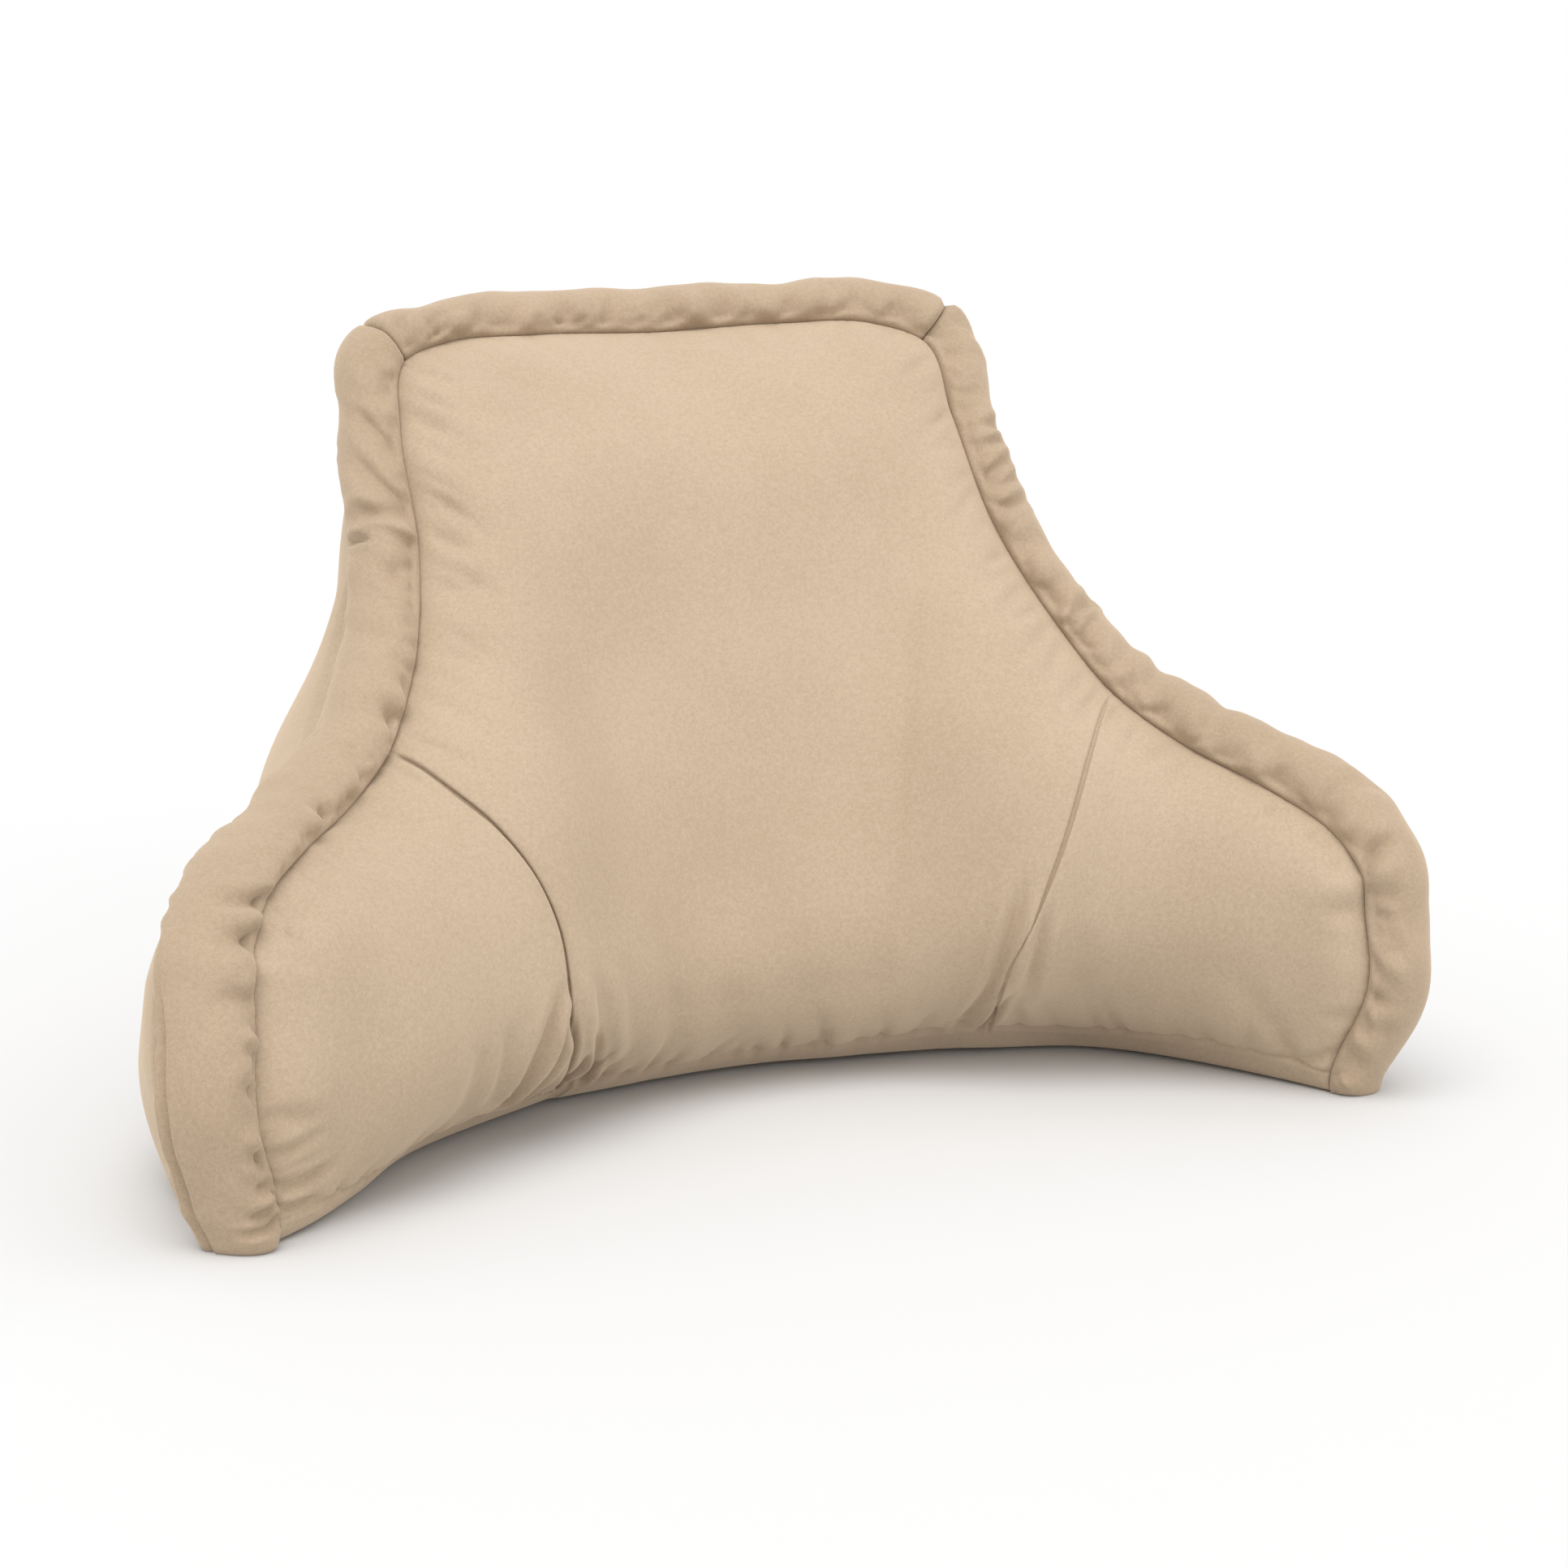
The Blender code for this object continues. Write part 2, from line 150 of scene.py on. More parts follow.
# Creases of the front, by the x and z of their ends. bow bends a crease towards its left, as it
# runs from the first end to the last, lean makes its left flank the wider one, and start and stop
# say how much of its depth it keeps at its ends.
# x0, z0, x1, z1, bow, width, depth, lean, start, stop
FRONT_CREASES = (
    (-0.133, 0.081, -0.127, 0.015, 0.003, 0.0020, 0.0036, 0.2, 0.1, 0.8),
    (-0.136, 0.083, -0.151, 0.022, 0.006, 0.0022, 0.0036, -0.2, 0.1, 0.8),
    (-0.137, 0.103, -0.163, 0.026, 0.002, 0.0040, 0.0060, -0.4, 0.0, 0.9),
    (-0.172, 0.084, -0.177, 0.036, 0.001, 0.0046, 0.0034, 0.0, 0.0, 0.7),
    (-0.190, 0.080, -0.197, 0.034, 0.001, 0.0064, 0.0028, 0.0, 0.0, 0.7),
    (-0.115, 0.054, -0.119, 0.018, 0.001, 0.0022, 0.0032, 0.3, 0.1, 0.9),
    (-0.115, 0.066, -0.103, 0.014, 0.003, 0.0028, 0.0040, 0.3, 0.1, 0.9),
    (-0.114, 0.106, -0.100, 0.030, -0.003, 0.0046, 0.0036, 0.2, 0.0, 0.5),
    (-0.108, 0.098, -0.092, 0.026, -0.003, 0.0044, 0.0026, 0.0, 0.0, 0.6),
    (-0.093, 0.112, -0.080, 0.032, -0.002, 0.0080, 0.0018, 0.0, 0.0, 0.6),
    (0.145, 0.142, 0.137, 0.026, -0.008, 0.0042, 0.0052, 0.2, 0.0, 0.8),
    (0.138, 0.034, 0.122, 0.026, -0.001, 0.0034, 0.0018, 0.0, 0.3, 0.0),
    (0.145, 0.058, 0.152, 0.020, 0.000, 0.0022, 0.0030, 0.3, 0.1, 0.9),
    (0.157, 0.120, 0.158, 0.050, -0.006, 0.0040, 0.0044, 0.0, 0.0, 0.4),
    (0.173, 0.110, 0.181, 0.044, 0.001, 0.0070, 0.0016, 0.0, 0.0, 0.5),
    (-0.171, 0.420, -0.113, 0.378, 0.003, 0.0070, 0.0022, 0.0, 0.6, 0.0),
    (-0.165, 0.424, -0.085, 0.404, 0.002, 0.0080, 0.0020, 0.0, 0.6, 0.0),
    (-0.177, 0.392, -0.130, 0.352, 0.003, 0.0090, 0.0016, 0.0, 0.6, 0.0),
    (-0.178, 0.334, -0.120, 0.320, 0.002, 0.0110, 0.0018, 0.0, 0.5, 0.0),
    (-0.181, 0.300, -0.132, 0.296, -0.002, 0.0100, 0.0014, 0.0, 0.5, 0.0),
    (0.160, 0.426, 0.108, 0.380, -0.002, 0.0080, 0.0018, 0.0, 0.5, 0.0),
    (0.150, 0.432, 0.094, 0.412, -0.002, 0.0090, 0.0014, 0.0, 0.5, 0.0),
    (-0.061, 0.082, -0.052, 0.026, 0.001, 0.0080, 0.0014, 0.0, 0.0, 0.8),
    (-0.023, 0.080, -0.012, 0.022, 0.001, 0.0100, 0.0012, 0.0, 0.0, 0.8),
    (0.028, 0.084, 0.041, 0.018, -0.001, 0.0090, 0.0014, 0.0, 0.0, 0.8),
    (0.066, 0.096, 0.078, 0.018, 0.001, 0.0080, 0.0014, 0.0, 0.0, 0.8),
    (0.319, 0.035, 0.297, 0.017, 0.001, 0.0034, 0.0026, 0.0, 0.9, 0.0),
    (0.322, 0.060, 0.299, 0.048, 0.002, 0.0040, 0.0024, 0.0, 0.9, 0.0),
    (0.321, 0.122, 0.290, 0.112, 0.002, 0.0050, 0.0018, 0.0, 0.9, 0.0),
    (-0.318, 0.067, -0.286, 0.060, 0.002, 0.0050, 0.0022, 0.0, 0.9, 0.0),
    (-0.312, 0.030, -0.276, 0.036, -0.001, 0.0032, 0.0040, 0.0, 0.9, 0.0),
    (-0.310, 0.018, -0.284, 0.016, 0.001, 0.0028, 0.0036, 0.0, 0.9, 0.2),
    (-0.314, 0.046, -0.284, 0.056, 0.001, 0.0030, 0.0026, 0.0, 0.9, 0.0),
    (-0.311, 0.160, -0.276, 0.150, 0.002, 0.0060, 0.0018, 0.0, 0.9, 0.0),
)
CREASE_LIP = 0.30
CREASE_LIP_AT = 2.1
CREASE_LIP_SHARPNESS = 1.4
CREASE_LEAN = 0.5
CREASE_END_SHARE = 0.35
CREASE_SAMPLES = 14

# Puckers where cloth is gathered into a seam, by the stretch they fill. from and to are lengths
# along the crevice, spacing and width are along the seam, reach is away from it.
# seam, from, to, spacing, width, reach, depth
PUCKERS = (
    ("edge", 0.00, 0.10, 0.012, 0.0034, 0.015, 0.0026),
    ("edge", 0.10, 0.27, 0.020, 0.0046, 0.018, 0.0018),
    ("edge", 0.27, 0.47, 0.015, 0.0044, 0.022, 0.0026),
    ("edge", 0.47, 0.82, 0.022, 0.0056, 0.020, 0.0016),
    ("edge", 0.82, 1.18, 0.017, 0.0046, 0.020, 0.0020),
    ("edge", 1.18, 1.282, 0.012, 0.0034, 0.015, 0.0026),
    ("base", 0.00, 0.20, 0.013, 0.0040, 0.022, 0.0018),
    ("base", 0.20, 0.50, 0.016, 0.0044, 0.034, 0.0026),
    ("base", 0.50, 0.95, 0.022, 0.0062, 0.052, 0.0021),
    ("base", 0.95, 1.28, 0.017, 0.0044, 0.028, 0.0022),
)
PUCKER_NECK = 0.6
PUCKER_FLARE = 0.8
PUCKER_PEAK = 0.3
# How uneven the puckers are: the least and the greatest share of their usual size
PUCKER_PLACES = (0.6, 1.5)
PUCKER_WIDTHS = (0.7, 1.4)
PUCKER_REACHES = (0.6, 1.4)
PUCKER_DEPTHS = (0.4, 1.5)
PUCKER_SLANT = 0.35

# Creases of the roll. s is the length along the roll from the floor at the left tip, and turn is
# the angle round it, 0 at its rear, 90 at its top and 180 at the front panel.
# s0, turn0, s1, turn1, bow, width, depth, lean, start, stop
ROLL_CREASES = (
    (0.000, 62, 0.150, 40, 0.000, 0.0022, 0.0034, 0.0, 0.8, 0.0),
    (0.633, 118, 0.624, 196, 0.003, 0.0034, 0.0042, 0.3, 0.0, 0.9),
    (0.606, 120, 0.596, 190, 0.003, 0.0060, 0.0022, 0.0, 0.0, 0.6),
    (0.664, 130, 0.648, 196, 0.003, 0.0048, 0.0036, 0.2, 0.0, 1.0),
    (0.657, 168, 0.644, 198, 0.000, 0.0030, 0.0030, 0.0, 0.3, 1.0),
    (0.728, 166, 0.738, 204, 0.000, 0.0028, 0.0026, 0.0, 0.0, 1.0),
    (0.750, 168, 0.739, 204, 0.000, 0.0030, 0.0024, 0.0, 0.0, 1.0),
    (0.786, 166, 0.782, 204, 0.000, 0.0036, 0.0018, 0.0, 0.0, 1.0),
    (0.700, 100, 0.690, 190, 0.004, 0.0080, 0.0012, 0.0, 0.0, 0.7),
    (0.830, 100, 0.845, 195, 0.004, 0.0080, 0.0012, 0.0, 0.0, 0.7),
    (0.918, 105, 0.904, 196, 0.003, 0.0050, 0.0024, 0.2, 0.1, 0.8),
    (0.948, 150, 0.941, 196, 0.001, 0.0034, 0.0026, 0.0, 0.1, 1.0),
    (0.985, 95, 0.971, 196, 0.005, 0.0042, 0.0044, -0.3, 0.5, 0.9),
    (0.992, 120, 0.986, 190, 0.002, 0.0060, 0.0020, 0.0, 0.1, 0.7),
    (0.573, 100, 0.547, 196, 0.004, 0.0056, 0.0034, 0.3, 0.0, 0.9),
    (0.546, 95, 0.508, 192, 0.004, 0.0062, 0.0036, 0.3, 0.0, 0.9),
    (0.496, 85, 0.499, 192, -0.006, 0.0046, 0.0050, -0.3, 0.4, 0.9),
    (0.480, 55, 0.484, 116, 0.001, 0.0026, 0.0034, 0.0, 0.9, 0.0),
    (0.470, 120, 0.452, 195, 0.003, 0.0056, 0.0026, 0.0, 0.0, 0.8),
    (0.425, 100, 0.410, 190, 0.003, 0.0080, 0.0020, 0.0, 0.0, 0.7),
    (0.372, 105, 0.360, 192, 0.003, 0.0080, 0.0022, 0.0, 0.0, 0.8),
    (0.330, 110, 0.318, 192, 0.003, 0.0060, 0.0024, 0.0, 0.0, 0.9),
    (0.280, 100, 0.262, 192, 0.003, 0.0080, 0.0018, 0.0, 0.0, 0.8),
    (0.225, 120, 0.214, 196, 0.002, 0.0060, 0.0020, 0.0, 0.0, 0.9),
    (0.166, 90, 0.180, 196, 0.002, 0.0040, 0.0044, 0.0, 0.2, 1.0),
    (0.148, 100, 0.158, 196, 0.002, 0.0040, 0.0040, 0.0, 0.2, 1.0),
    (0.126, 110, 0.132, 196, 0.001, 0.0050, 0.0026, 0.0, 0.1, 0.9),
    (0.104, 150, 0.100, 200, 0.000, 0.0032, 0.0034, 0.0, 0.0, 1.0),
    (0.088, 140, 0.082, 200, 0.000, 0.0036, 0.0036, 0.2, 0.0, 1.0),
    (0.062, 136, 0.052, 200, 0.001, 0.0036, 0.0040, 0.2, 0.0, 1.0),
    (0.041, 142, 0.036, 200, 0.000, 0.0030, 0.0036, 0.0, 0.0, 1.0),
    (0.026, 118, 0.028, 200, 0.001, 0.0032, 0.0044, 0.0, 0.0, 1.0),
    (0.015, 100, 0.017, 196, 0.000, 0.0028, 0.0036, 0.0, 0.0, 1.0),
    (1.050, 84, 1.042, 194, 0.004, 0.0034, 0.0034, 0.3, 0.2, 0.9),
    (1.060, 90, 1.056, 170, 0.003, 0.0030, 0.0026, 0.0, 0.1, 0.2),
    (1.072, 86, 1.080, 194, 0.004, 0.0036, 0.0040, 0.3, 0.2, 0.9),
    (1.086, 92, 1.090, 180, 0.003, 0.0030, 0.0024, 0.0, 0.1, 0.6),
    (1.106, 84, 1.103, 194, 0.003, 0.0038, 0.0038, 0.3, 0.3, 0.9),
    (1.140, 100, 1.132, 192, 0.003, 0.0080, 0.0020, 0.0, 0.0, 0.8),
    (1.186, 75, 1.190, 196, 0.004, 0.0038, 0.0062, 0.3, 0.8, 0.9),
    (1.204, 110, 1.196, 190, 0.003, 0.0070, 0.0026, 0.0, 0.0, 0.8),
    (1.224, 70, 1.236, 170, 0.003, 0.0070, 0.0026, 0.0, 0.6, 0.0),
    (1.250, 70, 1.268, 190, 0.004, 0.0066, 0.0030, 0.0, 0.6, 0.5),
    (1.296, 70, 1.312, 194, 0.004, 0.0070, 0.0028, 0.0, 0.5, 0.7),
    (1.333, 75, 1.352, 194, 0.003, 0.0064, 0.0024, 0.0, 0.5, 0.7),
    (1.392, 80, 1.382, 176, 0.003, 0.0050, 0.0026, 0.0, 0.5, 0.2),
    (1.421, 110, 1.424, 192, 0.004, 0.0036, 0.0046, 0.0, 0.2, 1.0),
    (1.440, 120, 1.436, 192, 0.002, 0.0046, 0.0026, 0.0, 0.0, 0.9),
    (1.470, 120, 1.478, 194, 0.002, 0.0060, 0.0022, 0.0, 0.0, 0.9),
    (1.516, 120, 1.512, 196, 0.002, 0.0054, 0.0028, 0.0, 0.0, 1.0),
)

# Puckers along the roll's two seams, each with the least and greatest share of its usual size
FRONT_SEAM_TURN = 195
REAR_SEAM_TURN = -15
ROLL_PUCKER_SPACING = 0.015
ROLL_PUCKER_WIDTH = 0.0036
ROLL_PUCKER_DEPTH = 0.0026
ROLL_PUCKER_TURN = 30.0
ROLL_PUCKER_PLACES = (0.5, 1.6)
ROLL_PUCKER_WIDTHS = (0.7, 1.6)
ROLL_PUCKER_DEPTHS = (0.3, 1.5)
ROLL_PUCKER_TURNS = (0.7, 1.5)
ROLL_PUCKER_SLANT = 0.00012

# Small folds that climb from those seams, by the angle where they start and the way round
SMALL_FOLD_STARTS = ((198.0, -1.0), (-12.0, 1.0))
SMALL_FOLD_SPACING = 0.019
SMALL_FOLD_SLANT = 0.011
SMALL_FOLD_WIDTH = 0.0036
SMALL_FOLD_DEPTH = 0.0012
SMALL_FOLD_BOW = 0.0012
SMALL_FOLD_CLIMBS = (28, 75)
SMALL_FOLD_PLACES = (0.5, 1.7)
SMALL_FOLD_WIDTHS = (0.6, 1.6)
SMALL_FOLD_DEPTHS = (0.3, 1.6)
SMALL_FOLD_SLANT_MEAN = 0.55
SMALL_FOLD_SLANT_SPREAD = 0.6

# Form of the roll's surface, with its turns, reaches and fades in degrees
ROLL_RADIUS = 0.022
ROLL_DENT_RADIUS = 0.024
ROLL_LIFT = -0.0004
ROLL_WAVER = 0.0020
ROLL_WAVER_SIZE = 0.034
WAVER_TURN = 175
WAVER_REACH = 55
CREVICE_TURN = 185
CREVICE_DENT = 0.0026
HIDDEN_TURN = 25
HIDDEN_FADE = 60
ROLL_ROUNDING = 0.0045
ROLL_END_LOSS = 0.12
ROLL_CORNER_SOFTNESS = 0.007

# Low lumps of the filling: how high they are and how wide, and where detail fades at a seam
BODY_LUMP = 0.0012
FRONT_LUMP_SIZE = 0.10
BACK_LUMP = BODY_LUMP * 1.4
BACK_LUMP_SIZE = 0.12
LUMP_FADE = 0.03
EDGE_FADE = 0.002
BASE_FADE = 0.004
BASE_KEEP = 0.15
ROLL_LUMP = 0.0013
ROLL_LUMP_SIZE = 0.075
ROLL_SMALL_LUMP = 0.4 * ROLL_LUMP
ROLL_SMALL_LUMP_SIZE = 0.028
WAVE_SPREAD = (0.6, 1.4)
SEED = 7

# Cloth, a little deeper in tint on the roll: painted shade, a darker copy of the panel's cloth
# standing in for the shade on the roll
PANEL_LIGHT = (0.434, 0.336, 0.240)
PANEL_DARK = (0.366, 0.276, 0.189)
ROLL_PAINTED_SHADE_LIGHT = (0.388, 0.293, 0.204)
ROLL_PAINTED_SHADE_DARK = (0.322, 0.239, 0.160)
CLOTH_SURFACE = (
    ("Roughness", 0.88),
    ("Specular IOR Level", 0.25),
    ("Sheen Weight", 0.42),
    ("Sheen Roughness", 0.50),
    ("Sheen Tint", (1.0, 0.82, 0.62, 1.0)),
)
# scale, detail, roughness
PATCHES = (9.0, 3.0, 0.5)
NAP = (420.0, 4.0, 0.7)
GRAIN = (1300.0, 2.0, 0.6)
GRAIN_SHARE = 0.45
FINE_SHARE = 0.76
DARK_BELOW = 0.41
LIGHT_ABOVE = 0.58
BUMP_GRAIN_SHARE = 0.5
BUMP_STRENGTH = 0.35
BUMP_HEIGHT = 0.0006

# Floor and light
FLOOR_SIZE = 14.0
FLOOR_COLOUR = (0.64, 0.64, 0.64, 1.0)
FLOOR_ROUGHNESS = 0.9
SKY_COLOUR = (1.0, 1.0, 1.0, 1.0)
SKY_STRENGTH = 1.0
KEY_FROM = (-0.45, -0.80, 1.70)
KEY_ANGLE = 50.0
KEY_STRENGTH = 1.8
FILL_FROM = (0.10, -1.50, 0.12)
FILL_ANGLE = 70.0
FILL_STRENGTH = 1.05

CAMERA_AZIMUTH = -20.2
CAMERA_ELEVATION = 9.5
CAMERA_DISTANCE = 1.88
CAMERA_TARGET = (0.0770, 0.1172, 0.154)
CAMERA_LENS = 68.40
CAMERA_SENSOR = 36.0


def spline(knots, values, at):
    """Smooth curve through the values at the knots, read at the places asked for."""
    knots, values, at = (np.asarray(a, float) for a in (knots, values, at))
    steps = np.diff(knots)
    slopes = np.diff(values, axis=0) / steps[:, None]
    middle = (slopes[:-1] * steps[1:, None] + slopes[1:] * steps[:-1, None]) / (
        steps[:-1] + steps[1:]
    )[:, None]
    tangents = np.vstack([slopes[:1], middle, slopes[-1:]])
    i = np.clip(np.searchsorted(knots, at, side="right") - 1, 0, len(steps) - 1)
    h = steps[i][:, None]
    t = ((at - knots[i]) / steps[i])[:, None]
    return (
        (2 * t**3 - 3 * t**2 + 1) * values[i]
        + (t**3 - 2 * t**2 + t) * h * tangents[i]
        + (3 * t**2 - 2 * t**3) * values[i + 1]
        + (t**3 - t**2) * h * tangents[i + 1]
    )


def pillow(distance, reach):
    """Round shoulder of filled cloth: 0 at a seam, steep there, and 1 past its reach."""
    q = np.clip(distance / reach, 0, 1)
    return np.sqrt(1 - (1 - q) ** 2)


def ease(value):
    """0 below 0, 1 above 1 and a smooth step between."""
    q = np.clip(value, 0, 1)
    return q * q * (3 - 2 * q)


def belly(distance, reach):
    """Gentle swell of filled cloth from a lower seam: 0 at the seam and 1 past its reach."""
    return 1 - (1 - np.clip(distance / reach, 0, 1)) ** 2


def nearest(points, line):
    """Distance of each point to the nearest stretch of a line, and how far along it that is."""
    best = np.full(len(points), np.inf)
    where = np.zeros(len(points))
    steps = np.linalg.norm(np.diff(line, axis=0), axis=1)
    start = np.concatenate([[0.0], np.cumsum(steps)])
    for k, (a, b) in enumerate(zip(line[:-1], line[1:])):
        along = b - a
        t = np.clip((points - a) @ along / max(along @ along, 1e-12), 0, 1)
        away = np.linalg.norm(points - a - t[:, None] * along, axis=1)
        closer = away < best
        best[closer] = away[closer]
        where[closer] = (start[k] + t * steps[k])[closer]
    return best, where


def section_knots():
    """Length along the crevice at each section, and the sections as an array."""
    values = np.array([row[1:] for row in SECTIONS], float)
    steps = np.linalg.norm(np.diff(values[:, :3], axis=0), axis=1)
    return np.concatenate([[0.0], np.cumsum(steps)]), values


KNOTS, SECTION_VALUES = section_knots()
CREVICE_LENGTH = KNOTS[-1]


def knot_of(name):
    """Length along the crevice at a named section."""
    return KNOTS[[row[0] for row in SECTIONS].index(name)]


def facing(turn):
    """Horizontal unit vector from the front of a section to its back."""
    angle = np.radians(turn)
    return np.stack([np.sin(angle), np.cos(angle), np.zeros_like(angle)], axis=-1)


def sections_at(at):
    """Crevice point, lower seam point, facing, depth and roll at lengths along the crevice."""
    at = np.asarray(at, float)
    read = spline(KNOTS, SECTION_VALUES, at.ravel()).reshape(*at.shape, -1)
    return read[..., 0:3], read[..., 3:6], facing(read[..., 6]), read[..., 7], read[..., 8]


def tip_bow(at, height, out):
    """Outward bow of the arm's end: along the arm, greatest half-way up, gone by the arm's root."""
    near = np.clip(1 - np.minimum(at, CREVICE_LENGTH - at) / TIP_BOW_REACH, 0, 1) ** 2
    side = np.where(at < CREVICE_LENGTH / 2, -1.0, 1.0)[..., None]
    along = side * np.stack([out[..., 1], -out[..., 0], np.zeros_like(at)], axis=-1)
    return along * (TIP_BOW * near * np.sin(np.pi * height) ** 2)[..., None]


def ruled_front(at, height):
    """Uncrowned front: straight lines from the lower seam up to the crevice."""
    edge, seam, out, _, _ = sections_at(at)
    rise = height[..., None]
    return seam * (1 - rise) + edge * rise + tip_bow(at, height, out)


def ruled_back(at, height):
    """Uncrowned back: straight lines from the back of the base up to the roll's rear crevice."""
    edge, seam, out, depth, _ = sections_at(at)
    top = edge + out * STRIP_WIDTH
    foot = seam + out * depth[..., None]
    foot[..., 2] = np.minimum(foot[..., 2], BACK_FOOT_RISE)
    rise = height[..., None]
    return foot * (1 - rise) + top * rise + tip_bow(at, height, out)


def crown_facing(points):
    """Way the crown is pushed out: straight ahead in the middle, turning towards the tips."""
    x = points[..., 0]
    return facing(np.sign(x) * TIP_TURN * (np.abs(x) / TIP_X) ** TURN_POWER)


def outline_of(ruled):
    """Edge line, along the arm's ends and the crevice, and base line of a ruled surface."""
    at = np.linspace(0, CREVICE_LENGTH, OUTLINE_POINTS)
    height = 0.5 - 0.5 * np.cos(np.linspace(0, np.pi, END_POINTS))
    left = ruled(np.zeros_like(height), height)
    right = ruled(np.full_like(height, CREVICE_LENGTH), height)
    top = ruled(at, np.ones_like(at))
    return np.vstack([left, top, right[::-1]]), ruled(at, np.zeros_like(at))


def crown_of(at, flat, ruled, middle, arm):
    """How far cloth stands off its ruled surface, and its distances to the edge and the base."""
    edge_line, base_line = outline_of(ruled)
    points = flat.reshape(-1, 3)
    from_edge, along_edge = (a.reshape(at.shape) for a in nearest(points, edge_line))
    from_base, along_base = (a.reshape(at.shape) for a in nearest(points, base_line))
    left, right = (knot_of(name) for name in ARM_SEAMS)
    into_arm = np.clip(np.maximum(left - at, at - right) / ARM_BLEND, 0, 1)
    height = arm + (middle - arm) * (0.5 + 0.5 * np.cos(np.pi * into_arm))
    crown = height * pillow(from_edge, CROWN_REACH_EDGE) * belly(from_base, CROWN_REACH_BASE)
    return crown, {"edge": (from_edge, along_edge), "base": (from_base, along_base)}


def hollow_swell(at):
    """How much fuller the back is where it bridges the hollow between a side and its arm."""
    swell = [np.exp(-(((at - knot_of(name)) / BACK_HOLLOW_REACH) ** 2)) for name in BACK_HOLLOWS]
    return 1 + BACK_HOLLOW_SWELL * sum(swell)


def stations():
    """Lengths along the crevice, crowded at the arm seams, with one on each seam."""
    fine = np.linspace(0, CREVICE_LENGTH, CROWDING_POINTS)
    seams = [knot_of(name) for name in ARM_SEAMS]
    density = np.ones_like(fine)
    for seam in seams:
        density += SEAM_CROWDING * np.exp(-(((fine - seam) / SEAM_CROWD_REACH) ** 2))
    filled = np.concatenate([[0.0], np.cumsum(0.5 * (density[1:] + density[:-1]))])
    at = np.interp(np.linspace(0, filled[-1], BODY_COLUMNS + 1), filled, fine)
    for seam in seams:
        at[int(np.argmin(np.abs(at - seam)))] = seam
    return at


def seam_slides(at, height):
    """Stations of the front's grid, bent so that a grid line runs down each arm seam."""
    slid = at[:, None] + np.zeros_like(height)[None, :]
    for name in ARM_SEAMS:
        bends = [(h, slide) for seam, h, slide in SEAM_BENDS if seam == name]
        heights, slides = zip(*bends)
        bend = spline(heights, np.array(slides)[:, None], height)[:, 0]
        side = -1.0 if name.startswith("left") else 1.0
        near = ease(1 - np.abs(at - knot_of(name)) / SEAM_BEND_REACH)
        slid += side * near[:, None] * bend[None, :]
    return np.clip(slid, 0, CREVICE_LENGTH)


def smooth_noise(points, size, seed, waves=9):
    """Gentle unevenness from -1 to 1 with features of about the given size."""
    chance = np.random.default_rng(seed)
    total = np.zeros(points.shape[:-1])
    for _ in range(waves):
        way = chance.normal(size=points.shape[-1])
        way *= 2 * np.pi / size * chance.uniform(*WAVE_SPREAD) / np.linalg.norm(way)
        total += np.sin(points @ way + chance.uniform(0, 2 * np.pi))
    return total / math.sqrt(waves)


def crease_depths(flat_points, rows):
    """Depth of the listed creases at points of a plane, with the raised lips beside them."""
    shape = flat_points.shape[:-1]
    points = flat_points.reshape(-1, 2)
    total = np.zeros(len(points))
    t = np.linspace(0, 1, CREASE_SAMPLES)[:, None]
    for x0, z0, x1, z1, bow, width, depth, lean, start, stop in rows:
        first, last = np.array((x0, z0)), np.array((x1, z1))
        way = last - first
        left = np.array((-way[1], way[0])) / np.linalg.norm(way)
        middle = (first + last) / 2 + 2 * bow * left
        line = first * (1 - t) ** 2 + middle * 2 * t * (1 - t) + last * t**2
        reach = 6 * width
        low, high = line.min(0) - reach, line.max(0) + reach
        near = np.nonzero(((points > low) & (points < high)).all(1))[0]
        if len(near) == 0:
            continue
        away, where = nearest(points[near], line)
        share = where / max(where.max(), 1e-9)
        side = np.sign((points[near] - first) @ left)
        flank = width * (1 + CREASE_LEAN * lean * side)
        q = away / flank
        keep = start + (1 - start) * ease(share / CREASE_END_SHARE)
        keep *= stop + (1 - stop) * ease((1 - share) / CREASE_END_SHARE)
        lip = CREASE_LIP * np.exp(-((q - CREASE_LIP_AT) ** 2) * CREASE_LIP_SHARPNESS)
        total[near] += depth * keep * (np.exp(-(q**2)) - lip)
    return total.reshape(shape)


def pucker_depths(distances, seed):
    """Depth of the puckers that run into the front's seams, uneven in place, size and slant."""
    chance = np.random.default_rng(seed)
    total = np.zeros(distances["edge"][0].shape)
    end_line = outline_of(ruled_front)[0]
    end_steps = np.linalg.norm(np.diff(end_line[:END_POINTS], axis=0), axis=1).sum()
    for seam, first, last, spacing, width, reach, depth in PUCKERS:
        away, along = distances[seam]
        if seam == "edge":
            along = along - end_steps
        place = first
        while place < last:
            place += spacing * chance.uniform(*PUCKER_PLACES)
            wide = width * chance.uniform(*PUCKER_WIDTHS)
            far = reach * chance.uniform(*PUCKER_REACHES)
            deep = depth * chance.uniform(*PUCKER_DEPTHS)
            slant = chance.normal(0, PUCKER_SLANT)
            flare = wide * (PUCKER_NECK + PUCKER_FLARE * away / far)
            q = (along - place - slant * away) / flare
            rise = away / (PUCKER_PEAK * far)
            total += deep * np.exp(-(q**2)) * rise * np.exp(1 - rise) / (1 + (away / far) ** 4)
    return total


def loop_normals(grid):
    """Outward unit normals of a grid of closed loops."""
    along = np.gradient(grid, axis=0)
    around = np.roll(grid, -1, axis=1) - np.roll(grid, 1, axis=1)
    normal = np.cross(along, around)
    return normal / np.maximum(np.linalg.norm(normal, axis=-1), 1e-12)[..., None]


